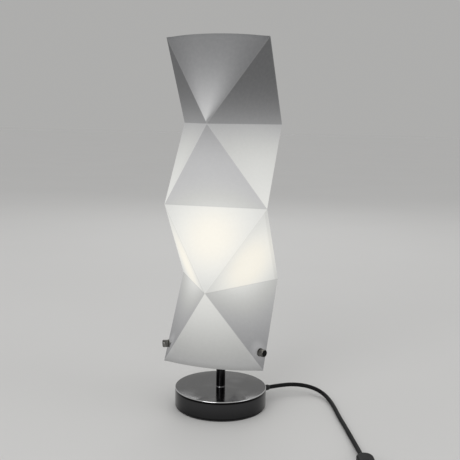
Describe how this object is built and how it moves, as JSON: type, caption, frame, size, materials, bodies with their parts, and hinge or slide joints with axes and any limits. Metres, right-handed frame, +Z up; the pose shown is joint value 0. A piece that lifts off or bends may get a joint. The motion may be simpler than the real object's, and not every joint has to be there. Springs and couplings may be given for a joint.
{
  "type": "table lamp",
  "caption": "Table lamp with a tall folded paper tube shade held by thumb nuts over a round weighted base, with a screw bulb, inline switch and coiled lead.",
  "frame": {"origin": "centre of the base's underside, on the table", "axes": "+Z up along the stem; -Y is the shade's front, where the middle of an upper sheet edge faces; +X to the right of that front"},
  "size_m": [0.3073, 0.3881, 0.4737],
  "materials": {
    "paper": "translucent white, satin",
    "chrome": "polished",
    "stud_steel": "zinc plated",
    "nut_metal": "satin nickel",
    "cast_iron": "as cast, painted",
    "cover_steel": "matt black",
    "foam": "matt",
    "black_plastic": "satin moulded",
    "black_lead": "satin sheath",
    "holder_plastic": "white moulded",
    "brass": "bright",
    "opal_glass": "frosted inside",
    "clear_glass": "clear",
    "cap_metal": "bright",
    "black_glass": "glossy",
    "tungsten": "drawn wire",
    "brown_wire": "extruded",
    "blue_wire": "extruded"
  },
  "bodies": {
    "stand": {"base_pad": "foam", "base_shell": "chrome", "base_weight": "cast_iron", "base_cover": "cover_steel", "cover_screws": "stud_steel", "cord_bushing": "black_plastic", "cord_stop": "black_plastic", "cord_inner": "black_lead", "base_washer": "stud_steel", "base_nut": "stud_steel", "threaded_tube": "stud_steel", "stem_sleeve": "chrome", "carrier_hub": "stud_steel", "carrier_arms": "stud_steel", "inner_washers": "stud_steel", "holder_cap": "holder_plastic", "holder_insert": "holder_plastic", "holder_skirt": "holder_plastic", "socket_shell": "brass", "centre_contact": "brass", "shell_rivet": "brass", "terminal_live": "brass", "terminal_neutral": "brass", "holder_grub_screw": "stud_steel", "conductor_live": "brown_wire", "conductor_neutral": "blue_wire", "shade": "paper", "switch_lower": "black_plastic", "switch_upper": "black_plastic", "switch_pivot": "stud_steel", "switch_terminals": "brass", "switch_contact_strip": "brass", "switch_screws": "stud_steel", "cord_to_switch": "black_lead", "cord_to_coil": "black_lead", "cord_coil": "black_lead", "plug_body": "black_plastic", "plug_boot": "black_plastic", "plug_pins": "brass", "cord_to_plug": "black_lead"},
    "washer_left": {"seat_washer_left": "stud_steel"},
    "nut_left": {"thumb_nut_left": "nut_metal"},
    "washer_right": {"seat_washer_right": "stud_steel"},
    "nut_right": {"thumb_nut_right": "nut_metal"},
    "washer_back": {"seat_washer_back": "stud_steel"},
    "nut_back": {"thumb_nut_back": "nut_metal"},
    "bulb": {"bulb_glass": "opal_glass", "bulb_cap": "cap_metal", "bulb_tip": "cap_metal", "bulb_insulator": "black_glass", "bulb_stem": "clear_glass", "bulb_filament": "tungsten"},
    "rocker": {"switch_rocker": "black_plastic"}
  },
  "joints": [
    {"name": "washer_left_travel", "type": "slide", "parent": "stand", "child": "washer_left", "axis": [-0.866, -0.5, 0], "range_m": [0, 0.0042]},
    {"name": "nut_left_turn", "type": "hinge", "parent": "washer_left", "child": "nut_left", "pos_m": [-0.06495, -0.0375, 0.088], "axis": [-0.866, -0.5, 0], "range_deg": [0, 2162]},
    {"name": "washer_right_travel", "type": "slide", "parent": "stand", "child": "washer_right", "axis": [0.866, -0.5, 0], "range_m": [0, 0.0042]},
    {"name": "nut_right_turn", "type": "hinge", "parent": "washer_right", "child": "nut_right", "pos_m": [0.06495, -0.0375, 0.088], "axis": [0.866, -0.5, 0], "range_deg": [0, 2162]},
    {"name": "washer_back_travel", "type": "slide", "parent": "stand", "child": "washer_back", "axis": [0, 1, 0], "range_m": [0, 0.0042]},
    {"name": "nut_back_turn", "type": "hinge", "parent": "washer_back", "child": "nut_back", "pos_m": [0, 0.075, 0.088], "axis": [0, 1, 0], "range_deg": [0, 2162]},
    {"name": "bulb_lift", "type": "slide", "parent": "stand", "child": "bulb", "axis": [0, 0, 1], "range_m": [0, 0.345]},
    {"name": "rocker_tilt", "type": "hinge", "parent": "stand", "child": "rocker", "pos_m": [0.2077, -0.1543, 0.0122], "axis": [0.9613, 0.2756, 0], "range_deg": [0, 16]}
  ],
  "couplings": [
    {"joint": "nut_left_turn", "follows": "washer_left_travel", "rad_per_m": 8976},
    {"joint": "nut_right_turn", "follows": "washer_right_travel", "rad_per_m": 8976},
    {"joint": "nut_back_turn", "follows": "washer_back_travel", "rad_per_m": 8976}
  ]
}
